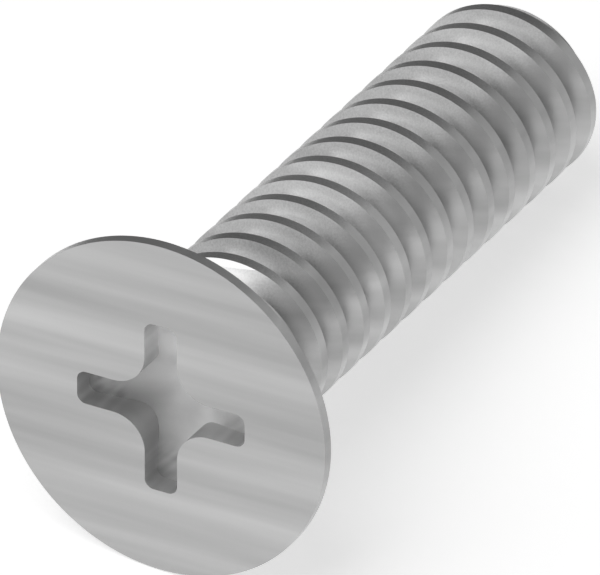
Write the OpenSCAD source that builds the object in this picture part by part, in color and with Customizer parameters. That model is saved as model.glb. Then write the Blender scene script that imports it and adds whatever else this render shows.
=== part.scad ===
/* [Thread] */
// Outer diameter of the thread
thread_d = 1.6; // [1.4:0.1:2.4]
// Distance from one crest to the next along the screw
thread_pitch = 0.35; // [0.25:0.01:0.45]
// Angle between the two flanks of the groove
flank_angle = 60; // [55:1:65]
// Width of the flat land left on each crest
crest_w = 0.1; // [0.06:0.01:0.12]
// Place of the groove along the screw, measured at the first arm of the recess
groove_start = 0.305; // [0.1:0.005:0.45]
// Length of the screw, from the face of the head to the tip
screw_l = 6; // [4:0.5:12]
// Bevel round the tip, as wide as it is long
tip_bevel = 0.14; // [0.1:0.01:0.2]

/* [Head] */
// Diameter of the flat face
head_d = 3; // [2.8:0.1:4]
// Height of the short straight rim below the face
rim_h = 0.095; // [0.05:0.005:0.2]
// Full angle of the tapered seat below the rim
seat_angle = 90; // [85:1:100]

/* [Cross recess] */
// Distance across the cross, from tip to tip of two opposite arms
recess_span = 1.53; // [1.4:0.01:1.8]
// Width of each arm
arm_w = 0.295; // [0.25:0.005:0.35]
// Radius of the inner corners, where two arms meet
inner_corner_r = 0.29; // [0.2:0.01:0.32]
// Radius of the two corners at the end of each arm
arm_corner_r = 0.08; // [0.04:0.01:0.1]
// Depth of the straight wall at the tip of each arm
arm_depth = 0.2; // [0.15:0.01:0.25]
// How much deeper the floor of an arm would get towards the middle
arm_fall = 0.06; // [0.02:0.01:0.1]
// Radius of the bowl in the middle
bowl_r = 0.5; // [0.4:0.01:0.6]
// Depth of the bowl in the middle
recess_depth = 0.5; // [0.4:0.01:0.6]

/* [Pose] */
// Turn of the lying screw about its own axis
roll = -3.8; // [-45:0.1:45]

/* [Fineness] */
// Flat steps in one turn of the groove
steps_per_turn = 48; // [36:4:60]
// Steps in each round outline
round_steps = 96; // [48:8:128]
// Steps from the edge of the bowl to its middle
floor_steps = 12; // [8:1:16]

/* [Hidden] */

thread_r = thread_d / 2;
head_r = head_d / 2;
groove_w = thread_pitch - crest_w;
root_r = thread_r - groove_w / 2 / tan(flank_angle / 2);
// The groove's cutter stands this far proud of the crests, so that the lands stay truly round
cutter_proud = 0.03;
// The tapered seat runs on into the core of the thread by this much
core_overlap = 0.08;
seat_end_r = root_r - core_overlap;
seat_end_z = rim_h + (head_r - seat_end_r) / tan(seat_angle / 2);
// The threaded shank starts this deep inside the head
shank_top = rim_h * 2;
$fn = round_steps;

// Lying tilt: the edge of the rim and the edge of the tip both touch the ground
tip_edge_z = screw_l - tip_bevel;
tilt = atan((head_r - thread_r) / (tip_edge_z - rim_h));
face_height = head_r * cos(tilt) + rim_h * sin(tilt);
mid_x = (screw_l * cos(tilt) + (thread_r - tip_bevel - head_r) * sin(tilt)) / 2;

// One section of the groove's cutter at a given angle round the screw:
// the root, then the two outer corners
function groove_section(angle, z, reach) = [
    [root_r * cos(angle), root_r * sin(angle), z],
    [(root_r + reach) * cos(angle), (root_r + reach) * sin(angle), z - reach * tan(flank_angle / 2)],
    [(root_r + reach) * cos(angle), (root_r + reach) * sin(angle), z + reach * tan(flank_angle / 2)]
];

// The helical cutter that leaves the thread: a right-handed groove with straight flanks
module thread_groove() {
    reach = thread_r + cutter_proud - root_r;
    first = ceil((shank_top + thread_pitch - groove_start) / thread_pitch * steps_per_turn);
    last = ceil((screw_l + thread_pitch - groove_start) / thread_pitch * steps_per_turn);
    sections = [
        for (i = [first:last])
            groove_section(i * 360 / steps_per_turn, groove_start + i * thread_pitch / steps_per_turn, reach)
    ];
    count = last - first + 1;
    walls = [
        for (i = [0:count - 2], k = [0:2])
            let (a = 3 * i + k, b = 3 * i + (k + 1) % 3)
            each [[a, b, b + 3], [a, b + 3, a + 3]]
    ];
    ends = [[2, 1, 0], [3 * count - 3, 3 * count - 2, 3 * count - 1]];
    polyhedron(points = [for (s = sections) each s], faces = concat(walls, ends));
}

// The shank with its bevelled tip, before the thread is cut
module shank_blank() {
    translate([0, 0, shank_top])
        cylinder(h = tip_edge_z - shank_top, r = thread_r);
    translate([0, 0, tip_edge_z])
        cylinder(h = tip_bevel, r1 = thread_r, r2 = thread_r - tip_bevel);
}

// A turned body starts and ends at a seam, which lies on top of the resting screw
module upright_seam() {
    rotate([0, 0, -roll])
        children();
}

module threaded_shank() {
    difference() {
        upright_seam() shank_blank();
        thread_groove();
    }
}

// The countersunk head: a flat face, a short rim and the tapered seat
module head() {
    rotate_extrude()
        polygon([[0, 0], [head_r, 0], [head_r, rim_h], [seat_end_r, seat_end_z], [0, seat_end_z]]);
}

// Outline of the cross: four arms with rounded ends, blended by round inner corners
module cross_outline() {
    half_w = arm_w / 2;
    corner = half_w + inner_corner_r;
    arm_l = recess_span / 2;
    difference() {
        union() {
            for (turn = [0:90:270])
                rotate(turn) {
                    translate([0, -half_w])
                        square([arm_l - arm_corner_r, arm_w]);
                    translate([arm_l - arm_corner_r - half_w, -half_w + arm_corner_r])
                        square([half_w + arm_corner_r, arm_w - 2 * arm_corner_r]);
                    for (side = [-1, 1])
                        translate([arm_l - arm_corner_r, side * (half_w - arm_corner_r)])
                            circle(arm_corner_r);
                }
            square(2 * corner, center = true);
        }
        for (turn = [0:90:270])
            rotate(turn)
                translate([corner, corner])
                    circle(inner_corner_r);
    }
}

// Depth of the recess's floor: the arms fall gently towards the middle, where a smooth bowl goes deeper
function floor_depth(r) =
    let (bowl = r < bowl_r ? (1 + cos(180 * r / bowl_r)) / 2 : 0)
    arm_depth + arm_fall * (1 - 2 * r / recess_span) + (recess_depth - arm_depth - arm_fall) * bowl;

// The recess: the cross goes straight down onto the floor
module cross_recess() {
    // The turned space reaches past the tips of the arms, so that only the cross shapes the walls
    reach = 0.6 * recess_span;
    intersection() {
        translate([0, 0, -recess_depth])
            linear_extrude(height = 3 * recess_depth)
                cross_outline();
        rotate_extrude()
            polygon([
                [0, -recess_depth / 2],
                [reach, -recess_depth / 2],
                [reach, floor_depth(reach)],
                for (i = [floor_steps:-1:0]) [bowl_r * i / floor_steps, floor_depth(bowl_r * i / floor_steps)]
            ]);
    }
}

module screw() {
    color("silver")
        translate([-mid_x, 0, face_height])
            rotate([0, 90 + tilt, 0])
                rotate([0, 0, roll + 180])
                    difference() {
                        union() {
                            upright_seam() head();
                            threaded_shank();
                        }
                        cross_recess();
                    }
}

screw();
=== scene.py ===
"""A countersunk machine screw lying on a white table, seen from its head side under soft studio light."""

import math

import bmesh
import bpy
import numpy as np
from mathutils import Matrix, Vector, geometry


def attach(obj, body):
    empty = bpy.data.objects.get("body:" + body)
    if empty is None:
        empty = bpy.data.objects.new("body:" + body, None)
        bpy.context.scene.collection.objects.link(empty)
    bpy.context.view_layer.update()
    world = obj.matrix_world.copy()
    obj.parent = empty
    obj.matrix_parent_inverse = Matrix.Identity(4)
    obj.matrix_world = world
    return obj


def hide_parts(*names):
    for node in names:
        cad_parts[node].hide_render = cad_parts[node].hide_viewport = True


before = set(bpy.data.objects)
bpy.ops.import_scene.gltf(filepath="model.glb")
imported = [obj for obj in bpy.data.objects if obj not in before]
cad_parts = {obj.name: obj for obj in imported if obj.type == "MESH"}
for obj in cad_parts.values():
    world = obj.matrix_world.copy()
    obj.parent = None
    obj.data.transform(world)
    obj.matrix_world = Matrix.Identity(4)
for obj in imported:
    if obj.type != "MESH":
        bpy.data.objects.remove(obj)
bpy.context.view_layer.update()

MM = 0.001

# Driving sizes of the screw, in millimetres, as in the part's source
THREAD_D = 1.6
PITCH = 0.35
FLANK_ANGLE = 60
CREST_W = 0.1
GROOVE_START = 0.305
SCREW_L = 6
TIP_BEVEL = 0.14
HEAD_D = 3
RIM_H = 0.095
SEAT_ANGLE = 90
RECESS_SPAN = 1.53
ARM_W = 0.295
INNER_CORNER_R = 0.29
ARM_CORNER_R = 0.08
ARM_DEPTH = 0.2
ARM_FALL = 0.06
BOWL_R = 0.5
RECESS_DEPTH = 0.5
CORE_OVERLAP = 0.08
ROLL = -3.8

# Worked out from the driving sizes
THREAD_R = THREAD_D / 2
HEAD_R = HEAD_D / 2
FLANK_SLOPE = math.tan(math.radians(FLANK_ANGLE / 2))
ROOT_R = THREAD_R - (PITCH - CREST_W) / 2 / FLANK_SLOPE
SEAT_SLOPE = math.tan(math.radians(SEAT_ANGLE / 2))
SEAT_END_R = ROOT_R - CORE_OVERLAP
SEAT_END = RIM_H + (HEAD_R - SEAT_END_R) / SEAT_SLOPE
SHANK_TOP = RIM_H * 2
TIP_EDGE = SCREW_L - TIP_BEVEL
TILT = math.atan((HEAD_R - THREAD_R) / (TIP_EDGE - RIM_H))
FACE_HEIGHT = HEAD_R * math.cos(TILT) + RIM_H * math.sin(TILT)
MID_X = (SCREW_L * math.cos(TILT) + (THREAD_R - TIP_BEVEL - HEAD_R) * math.sin(TILT)) / 2

# Fineness of the round forms
HEAD_STEPS = 360
TURN_STEPS = 160
CORNER_STEPS = 16
FLOOR_STEP = 0.025
SHARP_EDGE = 30
# Points of the recess's floor keep this far from its outline
EDGE_MARGIN = 0.012
# The tools of the booleans stand this far out of the surfaces that they cut
PROUD = 0.05
# Points closer together than this become one
WELD = 0.0001

# The steel's tones run from 0 for black to 1 for white. Streaks and grain vary about 0.5.
STEEL_TONE = 0.23
STREAK_TONE = 0.44
# The sliver and the glow round it are a painted reflection: they lighten the tone
SLIVER_TONE = 0.5
GLOW_TONE = 0.4
# The streaks are spots drawn out along the right arm of the recess
STREAK_STRETCH = (2.9, 0.15, 1)
GRAIN_SCALE = 60
GRAIN_HEIGHT = 0.002
GRAIN_STRENGTH = 0.6
ROUGHNESS = 0.26
GRAIN_ROUGHNESS = 0.08
RECESS_ROUGHNESS = 0.3
SLIVER_POLISH = 0.2
# The floor of the recess where it is painted pale mirrors less: it is this much less metallic
PALE_MATT = 0.8
# The bright sliver on the first groove, the glow round it and the floor of the recess's top arm
# are shaded as if they were turned by a share of the way towards the light
SLIVER_FACING = (-0.38, -0.21, 0.9)
GLOW_SHARE = 0.4
FLOOR_FACING = (-0.75, 0.15, 0.65)
FLOOR_SHARE = 0.6

# Where the tones lie on the screw, in millimetres: the first groove in view, down to just below its lands
FIRST_GROOVE_NEAR = 0.95
FIRST_GROOVE_FAR = 1.18
LAND_SKIN = 0.001
# The tones of the shank begin this far from the face
SHANK_START = 0.9
# The tones of the rim and the recess stay this far below the face
FACE_SKIN = 0.004
# The rim's tone fills the outermost band, and the recess's tones reach a little past its walls
RIM_BAND = 0.017
RECESS_MARGIN = 0.01

# The white floor and the sky behind it, and how much light the sky gives the screw
FLOOR_HALF = 0.5
FLOOR_COLOUR = (0.8, 0.8, 0.8, 1)
FLOOR_GLOW = 0.56
AMBIENT = 0.22

# The softbox, in metres and watts
LAMP_SIZE = 0.3
LAMP_POWER = 0.6
LAMP_PLACE = (-0.15, 0.09, 0.29)

# The photograph's view: the camera's angles, the picture in pixels, and the middle of the face in it
CAMERA_TURN = 29.06
CAMERA_ELEVATION = 38.42
PICTURE_W = 600
PICTURE_H = 575
PIXELS_PER_MM = 123.83
FACE_MID_X = 162.277
FACE_MID_Y = 407.766
# The scale is true this many millimetres beyond the middle of the face
MID_DEPTH = 2.26
LENS = 1500
SENSOR = 36
CLIP_START = 0.01
CLIP_END = 10


def screw_axes():
    """The turn and move from the screw's own axes, in millimetres, to the table, in millimetres."""
    turn = Matrix.Rotation(math.radians(ROLL + 180), 4, "Z")
    lay = Matrix.Rotation(math.pi / 2 + TILT, 4, "Y")
    return Matrix.Translation((-MID_X, 0, FACE_HEIGHT)) @ lay @ turn


def solid(name, points, faces):
    """A mesh object from its points and faces."""
    mesh = bpy.data.meshes.new(name)
    mesh.from_pydata([tuple(p) for p in points], [], faces)
    mesh.validate()
    made = bpy.data.objects.new(name, mesh)
    bpy.context.scene.collection.objects.link(made)
    return made


def arc(centre_x, centre_y, radius, start, end, steps):
    """Points along an arc, with its start and end in quarter turns."""
    angles = np.linspace(start * math.pi / 2, end * math.pi / 2, steps)
    return [(centre_x + radius * math.cos(a), centre_y + radius * math.sin(a)) for a in angles]


def revolved(name, outline, steps):
    """A closed body turned from an outline of (radius, height) points that starts and ends on the axis."""
    low, *ring, high = outline
    points = [(0, 0, low[1]), (0, 0, high[1])]
    for r, z in ring:
        points += [(x, y, z) for x, y in arc(0, 0, r, 0, 4, steps + 1)[:steps]]
    faces = []
    last = 2 + (len(ring) - 1) * steps
    for j in range(steps):
        k = (j + 1) % steps
        faces += [(0, 2 + k, 2 + j), (1, last + j, last + k)]
        for i in range(len(ring) - 1):
            row = 2 + i * steps
            faces.append((row + j, row + k, row + steps + k, row + steps + j))
    return solid(name, points, faces)


def screw_head():
    """The countersunk head: a flat face, a short rim and the tapered seat."""
    outline = [(0, 0), (HEAD_R, 0), (HEAD_R, RIM_H), (SEAT_END_R, SEAT_END), (0, SEAT_END)]
    return revolved("head", outline, HEAD_STEPS)


def shank_envelope():
    """The space that the thread fills: it ends deep in the head and, at the tip, in the bevel."""
    outline = [
        (0, SHANK_TOP),
        (THREAD_R + PROUD, SHANK_TOP),
        (THREAD_R + PROUD, TIP_EDGE - PROUD),
        (THREAD_R - TIP_BEVEL, SCREW_L),
        (0, SCREW_L),
    ]
    return revolved("envelope", outline, TURN_STEPS)


def threaded_rod():
    """The thread as one helical strip: root, near edge and far edge of the crest, again and again."""
    half = (PITCH - CREST_W) / 2
    profile = [(ROOT_R, 0), (THREAD_R, half), (THREAD_R, half + CREST_W)]
    lines = len(profile)
    # One turn passes the tip, and one more closes the strip
    turns = math.ceil((SCREW_L - GROOVE_START) / PITCH) + 2
    rows = lines * turns + 1
    points = []
    for row in range(rows):
        r, offset = profile[row % lines]
        for j in range(TURN_STEPS):
            angle = math.tau * j / TURN_STEPS
            z = GROOVE_START + PITCH * (row // lines + j / TURN_STEPS) + offset
            points.append((r * math.cos(angle), r * math.sin(angle), z))

    def at(row, j):
        return (row + lines * (j // TURN_STEPS)) * TURN_STEPS + j % TURN_STEPS

    # The strip ends one turn before its last row, so that its last column has rows to meet
    top = rows - 1 - lines
    faces = [
        (at(i, j), at(i, j + 1), at(i + 1, j + 1), at(i + 1, j))
        for i in range(top)
        for j in range(TURN_STEPS)
    ]
    near, far = len(points), len(points) + 1
    points += [(0, 0, points[0][2]), (0, 0, points[at(top, 0)][2] + PITCH)]
    faces += [(near, at(0, j + 1), at(0, j)) for j in range(TURN_STEPS)]
    faces += [(near, at(i, 0), at(i + 1, 0)) for i in range(lines)]
    faces += [(far, at(top, j), at(top, j + 1)) for j in range(TURN_STEPS)]
    faces += [(far, at(top + i + 1, 0), at(top + i, 0)) for i in range(lines)]
    return solid("rod", points, faces)


def cross_outline():
    """The outline of the cross: four arms with rounded ends, blended by round inner corners."""
    half_w = ARM_W / 2
    back = RECESS_SPAN / 2 - ARM_CORNER_R
    side = half_w - ARM_CORNER_R
    centre = half_w + INNER_CORNER_R
    quarter = arc(back, side, ARM_CORNER_R, 0, 1, CORNER_STEPS)
    quarter += arc(centre, centre, INNER_CORNER_R, 3, 2, 2 * CORNER_STEPS)
    quarter += arc(side, back, ARM_CORNER_R, 0, 1, CORNER_STEPS)
    outline = []
    for cos, sin in ((1, 0), (0, 1), (-1, 0), (0, -1)):
        outline += [(cos * x - sin * y, sin * x + cos * y) for x, y in quarter]
    return outline


def floor_depth(x, y):
    """Depth of the recess's floor: the arms fall gently to the middle, where a smooth bowl goes deeper."""
    r = math.hypot(x, y)
    bowl = (1 + math.cos(math.pi * min(r / BOWL_R, 1))) / 2
    return ARM_DEPTH + ARM_FALL * (1 - 2 * r / RECESS_SPAN) + (RECESS_DEPTH - ARM_DEPTH - ARM_FALL) * bowl


def deep_inside(x, y):
    """Is this point of the face inside the cross, and a little away from its outline?"""
    half_w = ARM_W / 2
    centre = half_w + INNER_CORNER_R
    x, y = max(abs(x), abs(y)), min(abs(x), abs(y))
    if y < half_w - EDGE_MARGIN and x < RECESS_SPAN / 2 - EDGE_MARGIN:
        return True
    return x < centre and y < centre and math.hypot(centre - x, centre - y) > INNER_CORNER_R + EDGE_MARGIN


def recess_cutter():
    """The space of the cross recess: straight walls down to the floor, which is a fine net of triangles."""
    outline = cross_outline()
    count = len(outline)
    points = [(x, y, -PROUD) for x, y in outline] + [(x, y, floor_depth(x, y)) for x, y in outline]
    edges = [(j, (j + 1) % count) for j in range(count)]
    faces = [tuple(reversed(range(count)))] + [(j, k, count + k, count + j) for j, k in edges]
    half = math.floor(RECESS_SPAN / 2 / FLOOR_STEP)
    grid = [FLOOR_STEP * i for i in range(-half, half + 1)]
    inside = [Vector((x, y)) for x in grid for y in grid if deep_inside(x, y)]
    flat = [Vector(p) for p in outline] + inside
    only_inside, gap = 1, 1e-6
    verts, _, tris, origin, _, _ = geometry.delaunay_2d_cdt(flat, edges, [], only_inside, gap)
    index = []
    for v, source in zip(verts, origin):
        if source and source[0] < count:
            index.append(count + source[0])
        else:
            index.append(len(points))
            points.append((v.x, v.y, floor_depth(v.x, v.y)))
    faces += [tuple(index[i] for i in tri) for tri in tris]
    return solid("recess", points, faces)


def combined(body, tool, operation):
    """The body after an exact boolean with the tool, which is used up."""
    modifier = body.modifiers.new("cut", "BOOLEAN")
    modifier.operation = operation
    modifier.solver = "EXACT"
    modifier.object = tool
    bpy.context.view_layer.update()
    result = bpy.data.meshes.new_from_object(body.evaluated_get(bpy.context.evaluated_depsgraph_get()))
    body.modifiers.clear()
    body.data = result
    bpy.data.objects.remove(tool)
    return body


def welded(body):
    """The body without what the booleans leave: points side by side, and spare points along an edge."""
    mesh = bmesh.new()
    mesh.from_mesh(body.data)
    bmesh.ops.remove_doubles(mesh, verts=mesh.verts, dist=WELD)
    bmesh.ops.dissolve_degenerate(mesh, edges=mesh.edges, dist=WELD)
    spare = [
        v
        for v in mesh.verts
        if len(v.link_edges) == 2 and all(len(e.other_vert(v).link_edges) > 2 for e in v.link_edges)
    ]
    bmesh.ops.dissolve_verts(mesh, verts=spare)
    mesh.to_mesh(body.data)
    mesh.free()
    return body


def screw_body():
    """The whole screw, joined and cut as in the part's source, and laid on the table."""
    thread = combined(threaded_rod(), shank_envelope(), "INTERSECT")
    made = combined(screw_head(), thread, "UNION")
    made = welded(combined(made, recess_cutter(), "DIFFERENCE"))
    made.name = "screw_body"
    made.data.name = "screw_body"
    made.data.transform(Matrix.Scale(MM, 4) @ screw_axes())
    made.data.shade_smooth()
    made.data.set_sharp_from_angle(angle=math.radians(SHARP_EDGE))
    made.data.materials.clear()
    made.data.materials.append(satin_steel())
    return made


class Field:
    """A number, colour or vector that varies over a surface; arithmetic on numbers adds Math nodes."""

    def __init__(self, tree, socket):
        self.tree = tree
        self.socket = socket

    def maths(self, operation, first, second):
        return self.tree.node("ShaderNodeMath", {"operation": operation}, {0: first, 1: second})

    def __add__(self, other):
        return self.maths("ADD", self, other)

    __radd__ = __add__

    def __sub__(self, other):
        return self.maths("SUBTRACT", self, other)

    def __rsub__(self, other):
        return self.maths("SUBTRACT", other, self)

    def __mul__(self, other):
        return self.maths("MULTIPLY", self, other)

    __rmul__ = __mul__


class Tree:
    """The nodes of one material or of the world."""

    def __init__(self, owner):
        owner.use_nodes = True
        self.nodes = owner.node_tree.nodes
        self.links = owner.node_tree.links
        self.nodes.clear()

    def node(self, kind, settings=None, sockets=None, output=0):
        """One node: its settings are set first, then the values or links of its sockets."""
        made = self.nodes.new(kind)
        for name, value in (settings or {}).items():
            setattr(made, name, value)
        for name, value in (sockets or {}).items():
            if isinstance(value, Field):
                self.links.new(value.socket, made.inputs[name])
            else:
                made.inputs[name].default_value = value
        return Field(self, made.outputs[output]) if len(made.outputs) else None

    def parts(self, kind, sockets, names):
        """Several outputs of one node."""
        made = self.node(kind, None, sockets).socket.node
        return [Field(self, made.outputs[name]) for name in names]

    def shown(self, shader, kind="ShaderNodeOutputMaterial"):
        self.node(kind, None, {"Surface": shader})

    def grey(self, value):
        """A grey colour from a number."""
        return self.node("ShaderNodeCombineColor", None, {"Red": value, "Green": value, "Blue": value})

    def noise(self, vector, scale, detail, roughness=0.5):
        """Soft random spots about the value 0.5; the scale says how many come to a millimetre."""
        sockets = {"Vector": vector, "Scale": scale, "Detail": detail, "Roughness": roughness}
        return self.node("ShaderNodeTexNoise", None, sockets, "Fac")

    def below(self, value, limit):
        """1 where the value is below the limit."""
        return self.node("ShaderNodeMath", {"operation": "LESS_THAN"}, {0: value, 1: limit})

    def between(self, value, start, end):
        """A soft step: 0 where the value is at the start or before it, 1 at the end or past it."""
        sockets = {"Value": value, "From Min": start, "From Max": end}
        return self.node("ShaderNodeMapRange", {"interpolation_type": "SMOOTHSTEP"}, sockets)

    def stretched(self, vector, factors):
        return self.node("ShaderNodeVectorMath", {"operation": "MULTIPLY"}, {0: vector, 1: factors})

    def dot(self, first, second):
        product = {"operation": "DOT_PRODUCT"}
        return self.node("ShaderNodeVectorMath", product, {0: first, 1: second}, "Value")

    def turned(self, share, vector, towards):
        """The vector, turned by a share of the way towards a direction."""
        return self.node("ShaderNodeMix", {"data_type": "VECTOR"}, {0: share, 4: vector, 5: towards}, 1)


class Place:
    """Where a point of the steel is on the screw's own axes, in millimetres.

    In the photograph x runs up the top arm of the recess and y out along its right arm.
    z runs from the face to the tip.
    """

    def __init__(self, tree):
        self.tree = tree
        axes = screw_axes()
        here = tree.node("ShaderNodeTexCoord", None, None, "Object")
        sockets = {
            "Vector": here,
            "Location": axes.translation * MM,
            "Rotation": axes.to_euler(),
            "Scale": (MM, MM, MM),
        }
        self.vector = tree.node("ShaderNodeMapping", {"vector_type": "TEXTURE"}, sockets)
        self.x, self.y, self.z = tree.parts("ShaderNodeSeparateXYZ", {"Vector": self.vector}, "XYZ")
        self.r_squared = self.x * self.x + self.y * self.y

    def along_x(self, start, end):
        return self.tree.between(self.x, start, end)

    def along_y(self, start, end):
        return self.tree.between(self.y, start, end)

    def diagonally(self, start, end):
        """A soft step from the lower left of the face to its upper right."""
        return self.tree.between(self.x + self.y, start, end)

    def from_axis(self, start, end):
        """A soft step from one distance from the screw's axis to another."""
        return self.tree.between(self.r_squared, start * start, end * end)

    def within(self, radius):
        return self.tree.below(self.r_squared, radius * radius)

    def deeper(self, near, far):
        """1 between two depths below the face."""
        return self.tree.below(near, self.z) * self.tree.below(self.z, far)


def first_groove_light(tree, at):
    """The painted reflection on the first groove in view: a white sliver, and a glow that fades from it."""
    groove = at.deeper(FIRST_GROOVE_NEAR, FIRST_GROOVE_FAR) * at.within(THREAD_R - LAND_SKIN)
    leaning = at.x - 0.065 * at.y
    sliver = groove * tree.between(leaning, 0.746, 0.752)
    glow = groove * at.along_x(0.5, 0.74) * at.along_y(0.65, 0.04)
    return sliver, glow


def shank_light(tree, at, grain):
    """Tones of the flanks: grain, and painted light and shade: bright grooves on top, dark roots in front,
    and a paler underside.
    """
    grainy = at.along_y(0.6, 0.3) * (0.3 * grain - 0.15)
    # Painted light on the grooves on top, painted light and shade in front that darkens the roots, and
    # painted light on the underside
    grooves = 0.3 * at.from_axis(0.775, 0.663) * at.along_y(0.42, 0.15) * at.along_y(-0.25, -0.1)
    front = at.along_x(0, 0.3) * at.along_y(0.15, 0.4) * (0.16 * at.from_axis(0.632, 0.748) - 0.08)
    under = 0.14 * at.along_x(-0.1, -0.3) * at.along_y(0.4, 0.6)
    return tree.below(SHANK_START, at.z) * (grainy + grooves + front + under)


def rim_light(at):
    """Painted light and shade on the rim's right half: darker at its top and paler at its bottom."""
    rim = at.deeper(FACE_SKIN, RIM_H + FACE_SKIN) * (1 - at.within(HEAD_R - RIM_BAND))
    # Painted shade at the rim's top and painted light at its bottom
    dark = 0.16 * at.along_x(1.05, 1.2) * at.along_y(0, 0.3)
    pale = 0.12 * at.along_x(-0.5, -0.9)
    return rim * at.along_y(0, 0.3) * (0.06 - dark + pale)


def recess_light(tree, at, streaks):
    """The recess, with painted light and shade: where it is, its tone, how pale its floor is painted, and
    the floor of the top arm.
    """
    reach = RECESS_SPAN / 2 + RECESS_MARGIN
    inside = at.within(reach) * at.deeper(FACE_SKIN, RECESS_DEPTH + RECESS_MARGIN)

    # 1 where a surface faces out of the recess, 0 on its walls
    outward = screw_axes().to_3x3() @ Vector((0, 0, -1))
    level = tree.dot(tree.node("ShaderNodeNewGeometry", None, None, "Normal"), outward)
    top_arm = at.along_x(-0.12, 0.06) * at.along_x(0.68, 0.46) * at.along_y(0.25, 0)
    top_floor = top_arm * tree.between(level, 0.4, 0.7)
    # The wall between the top and the right arm nearly merges with the face, so it takes the floor's tone
    far_corner = at.along_x(0.1, 0.14) * at.along_y(0.1, 0.14)
    # The bowl slopes too, but it is no wall
    steep = tree.between(level + 0.2 * at.from_axis(0.447, 0.361), 0.96, 0.6)
    wall = steep * (1 - far_corner) * (1 - top_floor)

    # Painted light and shade on the floor: paler towards the upper right, darker at the arm ends and in the
    # left arm
    pale = at.diagonally(-0.3, 0.2) * (1 - 0.7 * at.along_y(0.2, 0.5))
    arm_ends = 0.1 * at.along_x(0.45, 0.6) + 0.13 * at.along_y(0.35, 0.5)
    left_arm = 0.06 * at.along_y(-0.1, -0.3)
    floor_tone = 0.45 + 0.18 * at.diagonally(-0.5, -0.2) + 0.37 * pale - arm_ends - left_arm

    # Painted light and shade on the walls: lighter deeper down, in the arms and towards the upper right,
    # darker at the right arm's end
    deep_part = 0.12 * tree.between(at.z, 0.1, 0.3)
    in_arms = 0.1 * at.from_axis(0.374, 0.548)
    right_end = 0.05 * at.along_y(0.35, 0.5)
    wall_tone = 0.52 + deep_part + in_arms + 0.08 * at.diagonally(0, 0.3) - right_end

    # Faint marks slant across the arms
    slanting = tree.node("ShaderNodeCombineXYZ", None, {"X": 9 * (at.x - at.y), "Y": 2 * (at.x + at.y)})
    marks = 0.4 * at.from_axis(0.387, 0.548) * (tree.noise(slanting, 1, detail=1) - 0.5)
    tone = floor_tone + wall * (wall_tone - floor_tone) + 0.3 * streaks - 0.15 + marks
    return inside, tone, inside * pale * (1 - wall), inside * top_floor


def satin_steel():
    """Satin steel: soft streaks across the face, a fine grain, and the photograph's soft light, painted
    into its tone as light and shade.
    """
    made = bpy.data.materials.new("satin_steel")
    tree = Tree(made)
    at = Place(tree)
    streaks = tree.noise(tree.stretched(at.vector, STREAK_STRETCH), 1, detail=3)
    grain = tree.noise(at.vector, GRAIN_SCALE, detail=2, roughness=0.7)
    sliver, glow = first_groove_light(tree, at)
    recess, recess_tone, painted_pale_floor, top_floor = recess_light(tree, at, streaks)

    # The tone carries the painted reflection on the first groove and the painted light and shade of the
    # shank and the rim
    tone = STEEL_TONE + STREAK_TONE * streaks + SLIVER_TONE * sliver + GLOW_TONE * glow
    tone = tone + shank_light(tree, at, grain) + rim_light(at)
    tone = tone + recess * (recess_tone - tone)
    roughness = ROUGHNESS + GRAIN_ROUGHNESS * grain + RECESS_ROUGHNESS * recess - SLIVER_POLISH * sliver

    grit = {"Strength": GRAIN_STRENGTH, "Distance": GRAIN_HEIGHT * MM, "Height": grain}
    facing = tree.node("ShaderNodeBump", None, grit)
    facing = tree.turned(sliver + GLOW_SHARE * glow, facing, SLIVER_FACING)
    facing = tree.turned(FLOOR_SHARE * top_floor, facing, FLOOR_FACING)
    sockets = {
        "Base Color": tree.grey(tone),
        "Metallic": 1 - PALE_MATT * painted_pale_floor,
        "Roughness": roughness,
        "Normal": facing,
    }
    tree.shown(tree.node("ShaderNodeBsdfPrincipled", None, sockets))
    return made


def background_rays(tree):
    """1 for the rays that show the background: from the camera, and off or through the object."""
    names = ("Is Camera Ray", "Is Glossy Ray", "Is Transmission Ray")
    camera, glossy, through = tree.parts("ShaderNodeLightPath", None, names)
    sockets = {0: camera + glossy, 1: through}
    return tree.node("ShaderNodeMath", {"operation": "ADD", "use_clamp": True}, sockets)


def white_floor():
    """A matt white that glows for the rays that show the background, so that only the shadow stays grey."""
    made = bpy.data.materials.new("white_floor")
    tree = Tree(made)
    lit = tree.node("ShaderNodeBsdfDiffuse", None, {"Color": FLOOR_COLOUR})
    light = tree.grey(background_rays(tree) * FLOOR_GLOW)
    glow = tree.node("ShaderNodeEmission", None, {"Color": light, "Strength": 1})
    tree.shown(tree.node("ShaderNodeAddShader", None, {0: lit, 1: glow}))
    return made


def grey_card(level):
    """The even grey of a card."""
    made = bpy.data.materials.new("grey_card")
    tree = Tree(made)
    tree.shown(tree.node("ShaderNodeEmission", None, {"Color": (1, 1, 1, 1), "Strength": level}))
    return made


def table():
    """The white floor that the screw lies on."""
    half = FLOOR_HALF
    corners = [(-half, -half, 0), (half, -half, 0), (half, half, 0), (-half, half, 0)]
    made = solid("floor", corners, [(0, 1, 2, 3)])
    made.data.materials.append(white_floor())


def card(name, corners, level):
    """A grey card, with its corners in millimetres, that only polished surfaces see."""
    made = solid(name, [Vector(p) * MM for p in corners], [(0, 1, 2, 3)])
    made.data.materials.append(grey_card(level))
    for use in ("camera", "diffuse", "transmission", "volume_scatter", "shadow"):
        setattr(made, "visible_" + use, False)


def standing_card(name, azimuth, width, distance, height, level):
    """A card that stands on the floor at an angle round the screw, facing it."""
    facing = Vector((math.cos(math.radians(azimuth)), math.sin(math.radians(azimuth)), 0))
    along = Vector((-facing.y, facing.x, 0)) * (width / 2)
    foot = facing * distance
    top = Vector((0, 0, height))
    card(name, [foot - along, foot + along, foot + along + top, foot - along + top], level)


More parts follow.
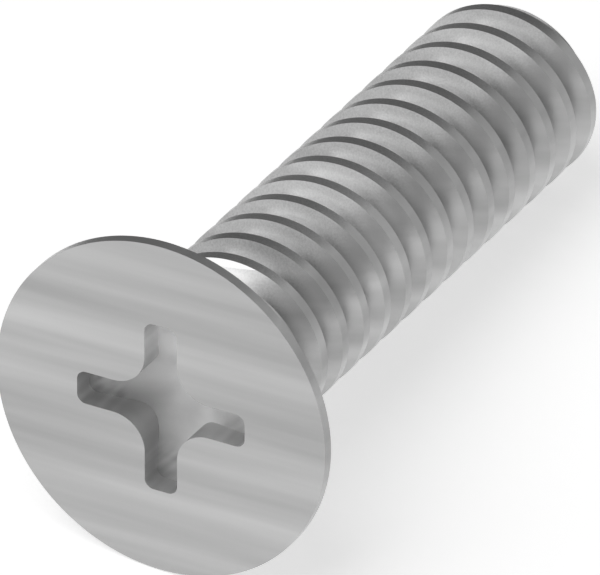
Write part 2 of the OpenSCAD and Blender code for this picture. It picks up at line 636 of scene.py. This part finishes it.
def cards():
    """The cards that give the flanks and the face their light and dark bands."""
    standing_card("back_card", azimuth=18, width=18, distance=9, height=13, level=0.18)
    standing_card("low_card", azimuth=44, width=7, distance=6.5, height=2.4, level=0.2)
    standing_card("right_card", azimuth=-44, width=9, distance=9, height=8, level=0.5)
    standing_card("front_card", azimuth=209, width=12, distance=14, height=8, level=0.34)
    head_end, tip_end, inner, outer, z = -2, 8, -1.8, -6.5, 0.01
    corners = [(head_end, inner, z), (head_end, outer, z), (tip_end, outer, z), (tip_end, inner, z)]
    card("floor_card", corners, level=0.72)


def sky():
    """A world that is white behind the screw and gives it a soft light from all sides."""
    world = bpy.data.worlds.new("studio")
    bpy.context.scene.world = world
    tree = Tree(world)
    white = tree.grey(AMBIENT + (1 - AMBIENT) * background_rays(tree))
    shader = tree.node("ShaderNodeBackground", None, {"Color": white, "Strength": 1})
    tree.shown(shader, "ShaderNodeOutputWorld")


def softbox():
    """The one lamp, which polished surfaces don't show."""
    lamp = bpy.data.objects.new("softbox", bpy.data.lights.new("softbox", "AREA"))
    bpy.context.scene.collection.objects.link(lamp)
    lamp.data.size = LAMP_SIZE
    lamp.data.energy = LAMP_POWER
    lamp.location = LAMP_PLACE
    lamp.visible_glossy = False
    lamp.rotation_euler = (-Vector(LAMP_PLACE)).to_track_quat("-Z", "Y").to_euler()


def photo_camera():
    """The camera, where the photograph was taken from."""
    turn, rise = math.radians(CAMERA_TURN), math.radians(CAMERA_ELEVATION)
    looking = Vector((math.cos(rise) * math.cos(turn), math.cos(rise) * math.sin(turn), -math.sin(rise)))
    right = Vector((math.sin(turn), -math.cos(turn), 0))
    up = right.cross(looking)
    middle = screw_axes().translation + looking * MID_DEPTH
    middle += right * ((PICTURE_W / 2 - FACE_MID_X) / PIXELS_PER_MM)
    middle += up * ((FACE_MID_Y - PICTURE_H / 2) / PIXELS_PER_MM)
    distance = LENS * PICTURE_W / PIXELS_PER_MM / SENSOR
    camera = bpy.data.objects.new("camera", bpy.data.cameras.new("camera"))
    bpy.context.scene.collection.objects.link(camera)
    camera.location = (middle - looking * distance) * MM
    camera.rotation_euler = looking.to_track_quat("-Z", "Y").to_euler()
    camera.data.lens = LENS
    camera.data.sensor_width = SENSOR
    camera.data.sensor_fit = "HORIZONTAL"
    camera.data.clip_start = CLIP_START
    camera.data.clip_end = CLIP_END
    bpy.context.scene.camera = camera


screw = screw_body()
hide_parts("screw")
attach(screw, "root")

table()
cards()
sky()
softbox()
photo_camera()
bpy.context.scene.view_settings.view_transform = "Standard"
